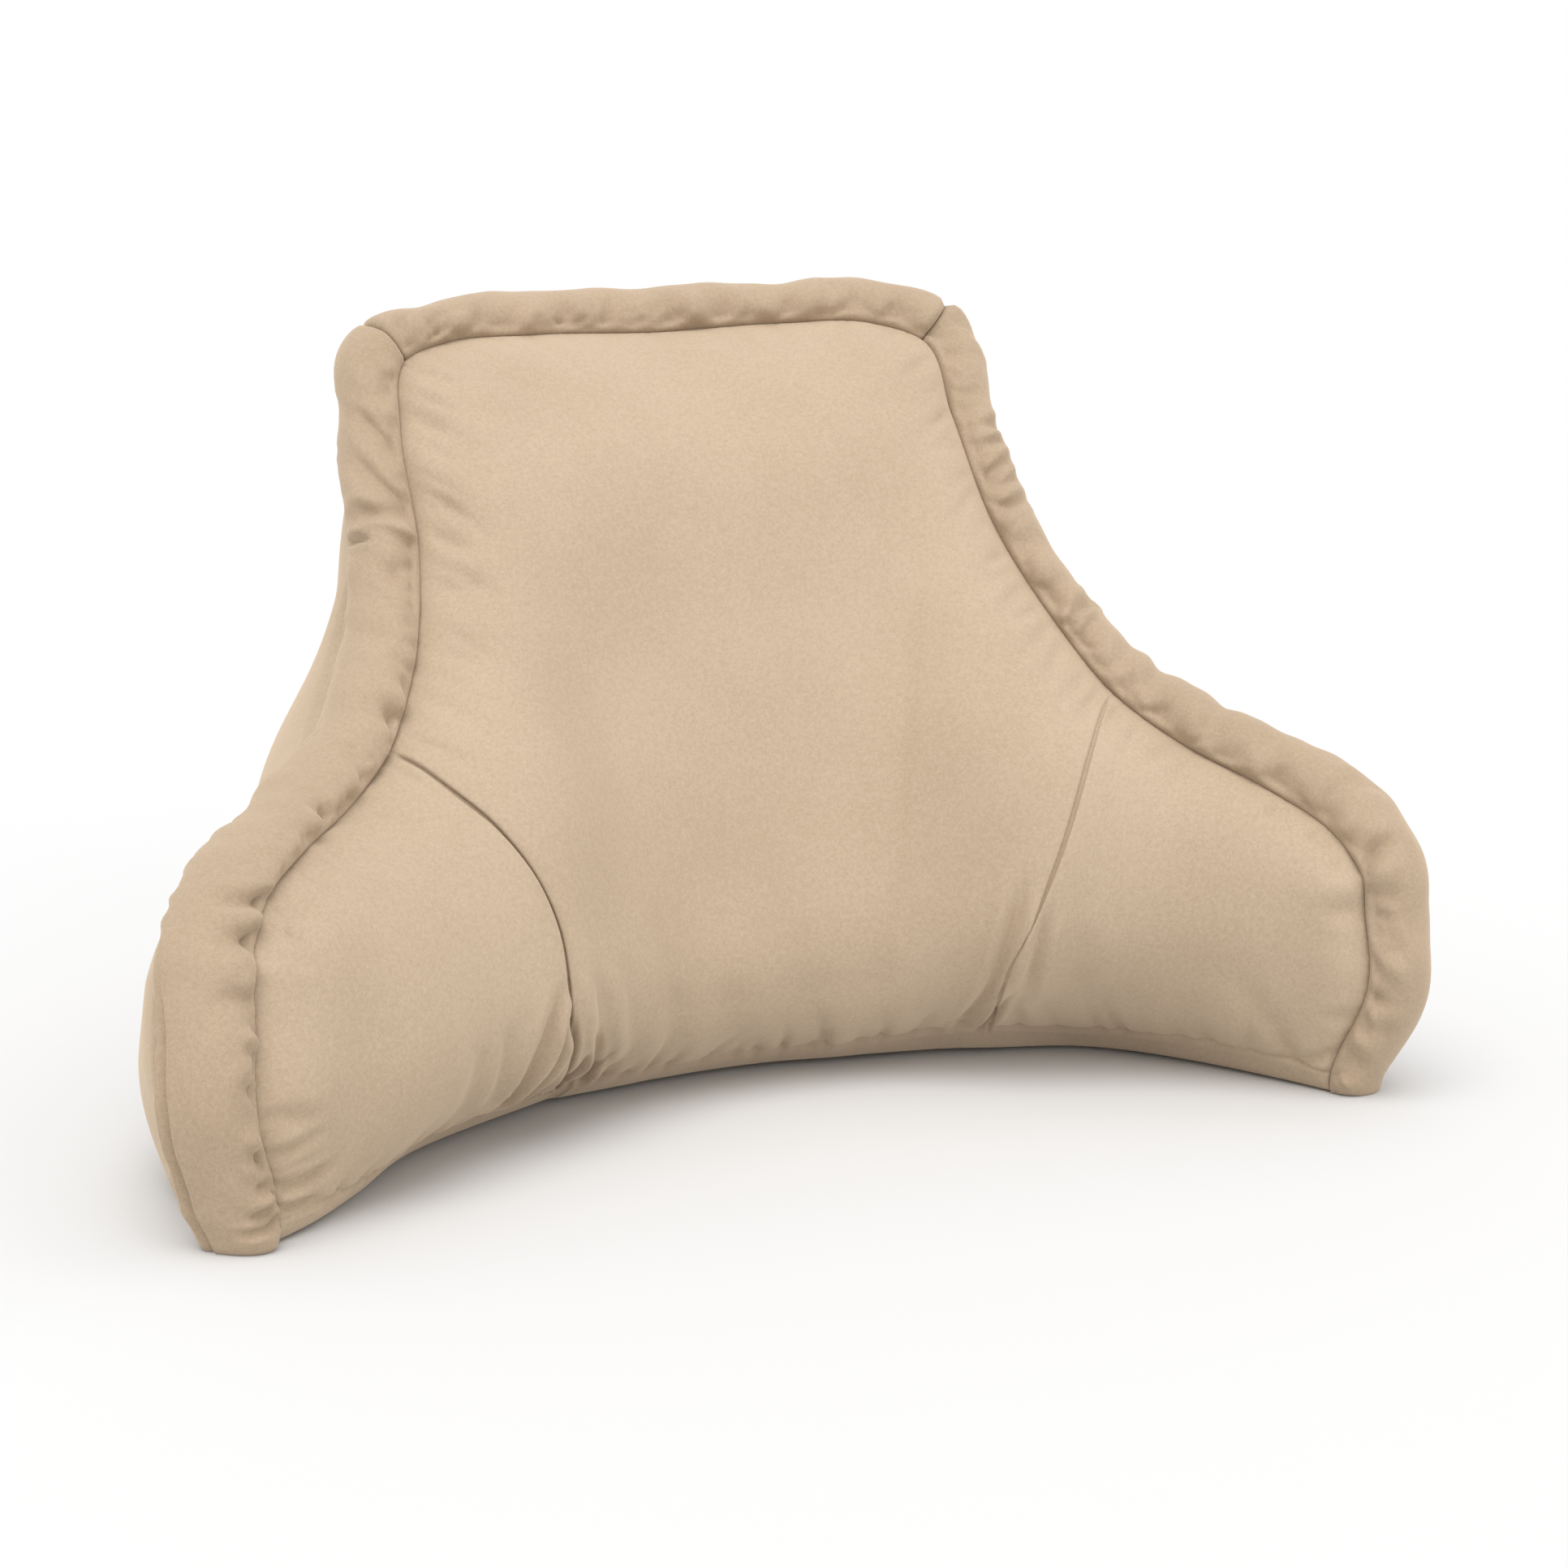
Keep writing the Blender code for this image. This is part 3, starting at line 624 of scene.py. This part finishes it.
def arm_seam_grooves(at, front):
    """Groove where the middle panel is sewn to each arm panel, with a crisp line of stitching."""
    points = front.reshape(-1, 3)
    soft = np.zeros(front.shape[:2])
    crisp = np.zeros(front.shape[:2])
    for name, depth, arm_reach, panel_reach, stitch_depth, stitch_reach in ARM_CHANNELS:
        seam = knot_of(name)
        i = int(np.argmin(np.abs(at - seam)))
        away = nearest(points, front[i, ::SEAM_LINE_STEP])[0].reshape(front.shape[:2])
        on_arm = (at < seam) if name.startswith("left") else (at > seam)
        reach = np.where(on_arm, arm_reach, panel_reach)[:, None]
        soft = np.maximum(soft, depth * (1 - pillow(away, reach)))
        crisp = np.maximum(crisp, stitch_depth * np.exp(-((away / stitch_reach) ** 2)))
    return soft, crisp


def sewn_line(away, place, reach, depth, points, seed):
    """Narrow groove of a seam that runs at a distance from an edge, a little uneven."""
    wander = 1 + SEWN_WANDER * smooth_noise(points, SEWN_WANDER_SIZE, seed)
    return depth * wander * np.exp(-(((away - place) / reach) ** 2))


def front_surface(at, height):
    """Crowned front, with its distances to the seams and the depth of its stitched lines."""
    front_at = seam_slides(at, height)
    flat = ruled_front(front_at, np.broadcast_to(height, front_at.shape))
    crown, seams = crown_of(front_at, flat, ruled_front, FRONT_CROWN_MIDDLE, FRONT_CROWN_ARM)
    soft, crisp = arm_seam_grooves(at, flat)
    inside = ease(np.minimum(seams["edge"][0], seams["base"][0]) / CROWN_SOFT_FROM)
    crown = crown + (blurred(crown, CROWN_SOFTNESS) - crown) * inside
    crown = crown - soft * pillow(crown, CHANNEL_FADE)
    return flat - crown_facing(flat) * crown[..., None], seams, crisp


def back_surface(at, height):
    """Swollen back, with its distances to the seams."""
    back_at = np.broadcast_to(at[:, None], (len(at), len(height)))
    flat = ruled_back(back_at, np.broadcast_to(height, back_at.shape))
    crown, seams = crown_of(back_at, flat, ruled_back, BACK_CROWN_MIDDLE, BACK_CROWN_ARM)
    crown = crown * hollow_swell(back_at)
    return flat + sections_at(back_at)[2] * crown[..., None], seams


def base_surface(front, back):
    """Base from the front's lower seam to the back's: lifted at both and flat where it rests."""
    shares = np.linspace(1, 0, BASE_ROWS + 1)[1:-1][None, :, None]
    base = front[:, :1] * (1 - shares) + back[:, :1] * shares
    lift = 1 - pillow(shares, BASE_REST_FROM)[..., 0]
    rear = np.clip((shares - BASE_REST_TO) / (1 - BASE_REST_TO), 0, 1)[..., 0]
    base[..., 2] = front[:, :1, 2] * lift + back[:, :1, 2] * rear
    return base


def front_dent(points, seams, crisp):
    """How far detail draws the front in: creases, puckers, stitching and hem, less low lumps."""
    from_edge, from_base = seams["edge"][0], seams["base"][0]
    away = np.minimum(from_edge, from_base)
    dent = crease_depths(points[..., (0, 2)], FRONT_CREASES) + pucker_depths(seams, SEED) + crisp
    dent -= BODY_LUMP * smooth_noise(points, FRONT_LUMP_SIZE, SEED + 1) * ease(away / LUMP_FADE)
    dent += sewn_line(from_base, HEM_AWAY, HEM_REACH, HEM_DEPTH, points, SEED + 6)
    return dent * (ease(from_edge / EDGE_FADE) * ease(BASE_KEEP + from_base / BASE_FADE))


def back_swell(points, seams):
    """How far detail pushes the back out: low lumps, less the welt behind the roll."""
    from_edge, from_base = seams["edge"][0][:, ::-1], seams["base"][0][:, ::-1]
    lumps = BACK_LUMP * smooth_noise(points, BACK_LUMP_SIZE, SEED + 2)
    lumps = lumps * ease(np.minimum(from_edge, from_base) / LUMP_FADE)
    return lumps - sewn_line(from_edge, WELT_AWAY, WELT_REACH, WELT_DEPTH, points, SEED + 7)


def body_grid():
    """Closed loops of points round the filled body: up the front, over, down the back, under."""
    at = stations()
    t = np.linspace(0, 1, FRONT_ROWS + 1)
    height = (1 - ROW_CROWDING) * t + ROW_CROWDING * (0.5 - 0.5 * np.cos(np.pi * t))
    front, seams, crisp = front_surface(at, height)
    back, back_seams = back_surface(at, 1 - (1 - height[::2]) ** BACK_CROWDING)
    over = np.linspace(0, 1, STRIP_ROWS + 1)[1:-1][None, :, None]
    strip = front[:, -1:] * (1 - over) + back[:, -1:] * over
    base = base_surface(front, back)
    grid = np.concatenate([front, strip, back[:, ::-1], base], axis=1) + ORIGIN_SHIFT

    normals = loop_normals(grid)
    back_first = front.shape[1] + STRIP_ROWS - 1
    ahead = slice(0, front.shape[1])
    behind = slice(back_first, back_first + back.shape[1])
    dent = front_dent(grid[:, ahead], seams, crisp)
    swell = back_swell(grid[:, behind], back_seams)
    grid[:, ahead] -= normals[:, ahead] * dent[..., None]
    grid[:, behind] += normals[:, behind] * swell[..., None]
    grid[..., 2] = np.maximum(grid[..., 2], 0.0)
    return grid, front.shape[1], back.shape[1]


def roll_path():
    """Front crevice from floor to floor, in even steps, with its corners softened."""
    at = np.linspace(0, CREVICE_LENGTH, PATH_POINTS)
    edge, _, out, _, rise = sections_at(at)
    climb = np.linspace(0, 1, CLIMB_POINTS)[:-1]
    left = ruled_front(np.zeros_like(climb), climb)
    right = ruled_front(np.full_like(climb, CREVICE_LENGTH), climb)[::-1]
    floor = np.array([1, 1, 0.0])
    path = np.vstack([left[:1] * floor, left, edge, right, right[-1:] * floor])
    added = len(left) + 1
    across = np.vstack([np.repeat(out[:1], added, 0), out, np.repeat(out[-1:], added, 0)])
    rise = np.concatenate([np.full(added, rise[0]), rise, np.full(added, rise[-1])])
    steps = np.linalg.norm(np.diff(path, axis=0), axis=1)
    length = np.concatenate([[0.0], np.cumsum(steps)])
    marks = [length[added + int(np.argmin(np.abs(at - knot_of(name))))] for name in ROLL_JOINTS]
    count = int(round(length[-1] / ROLL_STEP))
    even = np.linspace(0, length[-1], count + 1)
    joints = [int(np.argmin(np.abs(even - mark))) for mark in marks]
    columns = np.column_stack([path, across, rise])
    read = np.column_stack([np.interp(even, length, column) for column in columns.T])
    read[:, :3] = softened(read[:, :3], ROLL_CORNER_SOFTNESS / ROLL_STEP)
    return even, read[:, :3], read[:, 3:6], read[:, 6], joints


def softened(values, width):
    """Values along a line, averaged over a width in steps, with both ends left in place."""
    reach = int(3 * width)
    weights = np.exp(-0.5 * (np.arange(-reach, reach + 1) / width) ** 2)
    weights /= weights.sum()
    before = 2 * values[:1] - values[reach:0:-1]
    after = 2 * values[-1:] - values[-2 : -reach - 2 : -1]
    longer = np.vstack([before, values, after])
    return np.column_stack([np.convolve(column, weights, "valid") for column in longer.T])


def blurred(field, width):
    """Field over a grid, averaged over a width in grid steps both ways."""
    once = softened(field, width)
    return softened(once.T, width).T


def roll_section():
    """Angle round the roll's section, from its rear foot over the top to its front foot."""
    quarter = np.linspace(-90, 0, ROLL_QUARTER_POINTS + 1)[:-1]
    over = np.linspace(0, 180, ROLL_ARC_POINTS + 1)
    return np.concatenate([quarter, over, 270 - quarter[:0:-1] - 90, [270]])


def small_folds(total):
    """Short slanting folds that run up from the roll's front and rear seams, none alike."""
    chance = np.random.default_rng(SEED + 8)
    rows = []
    for seam, inward in SMALL_FOLD_STARTS:
        place = 0.0
        while place < total:
            place += SMALL_FOLD_SPACING * chance.uniform(*SMALL_FOLD_PLACES)
            climb = chance.uniform(*SMALL_FOLD_CLIMBS)
            lean = chance.normal(SMALL_FOLD_SLANT_MEAN, SMALL_FOLD_SLANT_SPREAD)
            slant = SMALL_FOLD_SLANT * lean
            wide = SMALL_FOLD_WIDTH * chance.uniform(*SMALL_FOLD_WIDTHS)
            deep = SMALL_FOLD_DEPTH * chance.uniform(*SMALL_FOLD_DEPTHS)
            foot = math.radians(seam) * ROLL_RADIUS
            head = math.radians(seam + inward * climb) * ROLL_RADIUS
            bow = chance.normal(0, SMALL_FOLD_BOW)
            rows.append((place, foot, place + slant, head, bow, wide, deep, 0.0, 1.0, 0.0))
    return rows


def add_roll_puckers(dent, length, turn):
    """Puckers along the roll's rear and front seams, uneven in place, width, depth and slant."""
    chance = np.random.default_rng(SEED + 3)
    for from_seam in (turn - REAR_SEAM_TURN, FRONT_SEAM_TURN - turn):
        place = 0.0
        while place < length[-1]:
            place += ROLL_PUCKER_SPACING * chance.uniform(*ROLL_PUCKER_PLACES)
            wide = ROLL_PUCKER_WIDTH * chance.uniform(*ROLL_PUCKER_WIDTHS)
            deep = ROLL_PUCKER_DEPTH * chance.uniform(*ROLL_PUCKER_DEPTHS)
            far = ROLL_PUCKER_TURN * chance.uniform(*ROLL_PUCKER_TURNS)
            slant = chance.normal(0, ROLL_PUCKER_SLANT)
            q = (length[:, None] - place - slant * from_seam[None, :]) / wide
            dent += deep * np.exp(-(q**2)) * np.exp(-((from_seam[None, :] / far) ** 2))


def roll_dents(length, turn):
    """How far detail draws the roll in, by length and turn: creases, folds, puckers and lumps."""
    angle = np.radians(turn)
    arc = np.column_stack([np.repeat(length, len(turn)), np.tile(angle * ROLL_RADIUS, len(length))])
    arc = arc.reshape(len(length), len(turn), 2)
    creases = [
        (s0, math.radians(t0) * ROLL_RADIUS, s1, math.radians(t1) * ROLL_RADIUS, *rest)
        for s0, t0, s1, t1, *rest in ROLL_CREASES
    ]
    dent = crease_depths(arc, creases + small_folds(length[-1]))
    add_roll_puckers(dent, length, turn)
    ring = np.stack([np.cos(angle), np.sin(angle)], axis=-1) * ROLL_RADIUS
    rings = np.broadcast_to(ring[None], (len(length), *ring.shape))
    noise_at = np.concatenate([arc[..., :1], rings], axis=-1)
    dent -= ROLL_LUMP * smooth_noise(noise_at, ROLL_LUMP_SIZE, SEED + 4)
    dent -= ROLL_SMALL_LUMP * smooth_noise(noise_at, ROLL_SMALL_LUMP_SIZE, SEED + 5)
    at_seam = ease(1 - np.abs(turn - WAVER_TURN) / WAVER_REACH)[None, :]
    waver = smooth_noise(length[:, None], ROLL_WAVER_SIZE, SEED + 9)[:, None]
    dent -= ROLL_WAVER * waver * at_seam
    dent = np.where(turn[None, :] > CREVICE_TURN, np.minimum(dent, CREVICE_DENT), dent)
    from_foot = np.minimum(turn + 90, 270 - turn)
    return dent * ease((from_foot - HIDDEN_TURN) / HIDDEN_FADE)[None, :]


def roll_outline(turn, rise):
    """Plain section of the roll at each ring: how far sideways and how high its cloth stands."""
    angle = np.radians(turn)
    lower = (turn < 0) | (turn > 180)
    side = np.sign(np.cos(angle) + 1e-9 * (90 - turn))
    overhang = ROLL_HALF_WIDTH - HALF_STRIP
    sideways = np.where(
        lower, side * HALF_STRIP + overhang * np.cos(angle), ROLL_HALF_WIDTH * np.cos(angle)
    )
    upper_rise = (rise - ROLL_WIDEST_RISE)[:, None] * np.sin(angle)[None, :]
    lower_rise = (ROLL_WIDEST_RISE - ROLL_LIFT) * np.sin(angle)[None, :]
    return sideways, ROLL_WIDEST_RISE + np.where(lower[None, :], lower_rise, upper_rise)


def roll_grid():
    """Rings of the padded roll from floor to floor, the way it runs, and where it is joined."""
    length, path, across, rise, joints = roll_path()
    along = np.gradient(path, axis=0)
    along /= np.linalg.norm(along, axis=1)[:, None]
    away = np.cross(along, across)
    away /= np.linalg.norm(away, axis=1)[:, None]
    turn = roll_section()
    sideways, upward = roll_outline(turn, rise)
    scale = 1 - roll_dents(length, turn) / np.minimum(rise, ROLL_DENT_RADIUS)[:, None]
    near_floor = np.minimum(length, length[-1] - length) / ROLL_FOOT_HEIGHT
    foot = ROLL_FOOT_SHARE + (1 - ROLL_FOOT_SHARE) * pillow(near_floor, 1.0)
    from_joint = np.min([np.abs(length - length[j]) for j in joints], axis=0)
    foot = foot * (1 - ROLL_END_LOSS * (1 - pillow(from_joint, ROLL_ROUNDING)))
    sideways = sideways[None, :] * scale * foot[:, None]
    upward = ROLL_LIFT + (upward - ROLL_LIFT) * scale * foot[:, None]
    grid = path[:, None, :] + (HALF_STRIP + sideways)[..., None] * across[:, None, :]
    grid = grid + upward[..., None] * away[:, None, :]
    grid = grid[:, ::-1] + ORIGIN_SHIFT
    grid[..., 2] = np.maximum(grid[..., 2], 0.0)
    return grid, along, joints


def cloth_object(name, grid, caps, material):
    """Smooth closed mesh through a grid of closed loops."""
    count, around = grid.shape[:2]
    index = np.arange(count * around).reshape(count, around)
    beside = np.roll(index, -1, axis=1)
    quads = np.stack([index[:-1], index[1:], beside[1:], beside[:-1]], axis=-1).reshape(-1, 4)
    last = (count - 1) * around
    faces = quads.tolist()
    faces += [tuple(cap) for cap in caps]
    faces += [tuple(last + j for j in reversed(cap)) for cap in caps]
    mesh = bpy.data.meshes.new(name)
    mesh.from_pydata(grid.reshape(-1, 3).tolist(), [], faces)
    mesh.validate()
    mesh.shade_smooth()
    obj = bpy.data.objects.new(name, mesh)
    obj.data.materials.append(material)
    bpy.context.scene.collection.objects.link(obj)
    return obj


def body_caps(front_rows, back_rows, around):
    """Faces across an arm's end: two front rows to one back row, and the foot."""
    back_first = front_rows + STRIP_ROWS - 1
    back = [back_first + back_rows - 1 - k for k in range(back_rows)]
    caps = []
    for k in range(back_rows - 1):
        caps.append((2 * k, 2 * k + 1, 2 * k + 2, back[k + 1], back[k]))
    caps.append((front_rows - 1, *range(front_rows, back_first + 1)))
    caps.append((0, back[0], *range(back[0] + 1, around)))
    return caps


def brushed_cloth(name, light, dark):
    """Matt brushed microfibre: mottled nap, fine cross grain and a faint sheen."""
    material = bpy.data.materials.new(name)
    material.use_nodes = True
    nodes, links = material.node_tree.nodes, material.node_tree.links
    shader = nodes["Principled BSDF"]
    for socket, value in CLOTH_SURFACE:
        shader.inputs[socket].default_value = value
    place = nodes.new("ShaderNodeTexCoord")

    def noise(scale, detail, rough):
        node = nodes.new("ShaderNodeTexNoise")
        node.inputs["Scale"].default_value = scale
        node.inputs["Detail"].default_value = detail
        node.inputs["Roughness"].default_value = rough
        links.new(place.outputs["Object"], node.inputs["Vector"])
        return node.outputs["Fac"]

    def blend(a, b, share):
        node = nodes.new("ShaderNodeMix")
        node.data_type = "FLOAT"
        node.inputs["Factor"].default_value = share
        links.new(a, node.inputs["A"])
        links.new(b, node.inputs["B"])
        return node.outputs["Result"]

    nap = noise(*NAP)
    grain = noise(*GRAIN)
    mottle = blend(noise(*PATCHES), blend(nap, grain, GRAIN_SHARE), FINE_SHARE)
    ramp = nodes.new("ShaderNodeValToRGB")
    low, high = ramp.color_ramp.elements
    low.position = DARK_BELOW
    low.color = (*dark, 1.0)
    high.position = LIGHT_ABOVE
    high.color = (*light, 1.0)
    links.new(mottle, ramp.inputs["Fac"])
    links.new(ramp.outputs["Color"], shader.inputs["Base Color"])
    bump = nodes.new("ShaderNodeBump")
    bump.inputs["Strength"].default_value = BUMP_STRENGTH
    bump.inputs["Distance"].default_value = BUMP_HEIGHT
    links.new(blend(nap, grain, BUMP_GRAIN_SHARE), bump.inputs["Height"])
    links.new(bump.outputs["Normal"], shader.inputs["Normal"])
    return material


def pale_floor():
    """Wide white floor under the cushion."""
    bpy.ops.mesh.primitive_plane_add(size=FLOOR_SIZE, location=(0, 0, 0))
    floor = bpy.context.object
    floor.name = "floor"
    material = bpy.data.materials.new("floor_white")
    material.use_nodes = True
    shader = material.node_tree.nodes["Principled BSDF"]
    shader.inputs["Base Color"].default_value = FLOOR_COLOUR
    shader.inputs["Roughness"].default_value = FLOOR_ROUGHNESS
    floor.data.materials.append(material)
    return floor


def white_sky(world):
    """Evenly white surroundings, as of a studio."""
    world.use_nodes = True
    background = world.node_tree.nodes["Background"]
    background.inputs["Color"].default_value = SKY_COLOUR
    background.inputs["Strength"].default_value = SKY_STRENGTH


def soft_sun(name, place, angle, strength):
    """Broad soft light, as from a wide softbox, that falls evenly from the way of a place."""
    data = bpy.data.lights.new(name, "SUN")
    data.angle = math.radians(angle)
    data.energy = strength
    light = bpy.data.objects.new(name, data)
    light.location = place
    aim(light, (0.0, 0.0, 0.0))
    bpy.context.scene.collection.objects.link(light)


def aim(obj, target):
    """Turns an object so that its -Z axis points at the target, with +Y upwards."""
    way = np.array(target) - np.array(obj.location)
    heading = math.atan2(-way[0], way[1])
    tilt = math.atan2(math.hypot(way[0], way[1]), -way[2])
    obj.rotation_euler = (tilt, 0.0, heading)


def add_camera():
    """Camera at the photograph's viewing angle."""
    azimuth, elevation = math.radians(CAMERA_AZIMUTH), math.radians(CAMERA_ELEVATION)
    back = np.array(
        (
            math.sin(azimuth) * math.cos(elevation),
            -math.cos(azimuth) * math.cos(elevation),
            math.sin(elevation),
        )
    )
    camera = bpy.data.objects.new("camera", bpy.data.cameras.new("camera"))
    camera.data.lens = CAMERA_LENS
    camera.data.sensor_width = CAMERA_SENSOR
    camera.location = np.array(CAMERA_TARGET) + back * CAMERA_DISTANCE
    aim(camera, CAMERA_TARGET)
    bpy.context.scene.collection.objects.link(camera)
    bpy.context.scene.camera = camera


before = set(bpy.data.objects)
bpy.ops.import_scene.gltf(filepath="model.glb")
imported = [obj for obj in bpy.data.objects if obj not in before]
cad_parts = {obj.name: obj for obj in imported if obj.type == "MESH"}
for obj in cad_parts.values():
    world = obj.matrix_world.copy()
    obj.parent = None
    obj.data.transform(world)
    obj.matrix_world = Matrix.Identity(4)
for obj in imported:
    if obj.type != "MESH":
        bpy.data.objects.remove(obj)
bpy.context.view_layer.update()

panel_cloth = brushed_cloth("panel_cloth", PANEL_LIGHT, PANEL_DARK)
# The roll's cloth is the panel's cloth darkened: painted shade on the roll
roll_cloth_painted_shade = brushed_cloth("roll_cloth_painted_shade", ROLL_PAINTED_SHADE_LIGHT, ROLL_PAINTED_SHADE_DARK)
body, front_rows, back_rows = body_grid()
cushion = cloth_object(
    "cushion_body", body, body_caps(front_rows, back_rows, body.shape[1]), panel_cloth
)
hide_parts("filled_body")
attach(cushion, "root")

rings, roll_along, roll_joints = roll_grid()
cuts = [0, *roll_joints, len(rings) - 1]
for side, first, last in zip(("left", "top", "right"), cuts[:-1], cuts[1:]):
    run = rings[first : last + 1].copy()
    if first > 0:
        run[0] += roll_along[first] * ROLL_JOINT_GAP
    if last < len(rings) - 1:
        run[-1] -= roll_along[last] * ROLL_JOINT_GAP
    roll = cloth_object(f"roll_{side}", run, [range(run.shape[1])], roll_cloth_painted_shade)
    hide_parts(f"edge_roll_{side}")
    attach(roll, "root")

pale_floor()
world = bpy.context.scene.world or bpy.data.worlds.new("studio")
bpy.context.scene.world = world
white_sky(world)
soft_sun("key_light", KEY_FROM, KEY_ANGLE, KEY_STRENGTH)
soft_sun("front_light", FILL_FROM, FILL_ANGLE, FILL_STRENGTH)
add_camera()
bpy.context.scene.view_settings.view_transform = "Standard"
bpy.context.scene.view_settings.look = "None"

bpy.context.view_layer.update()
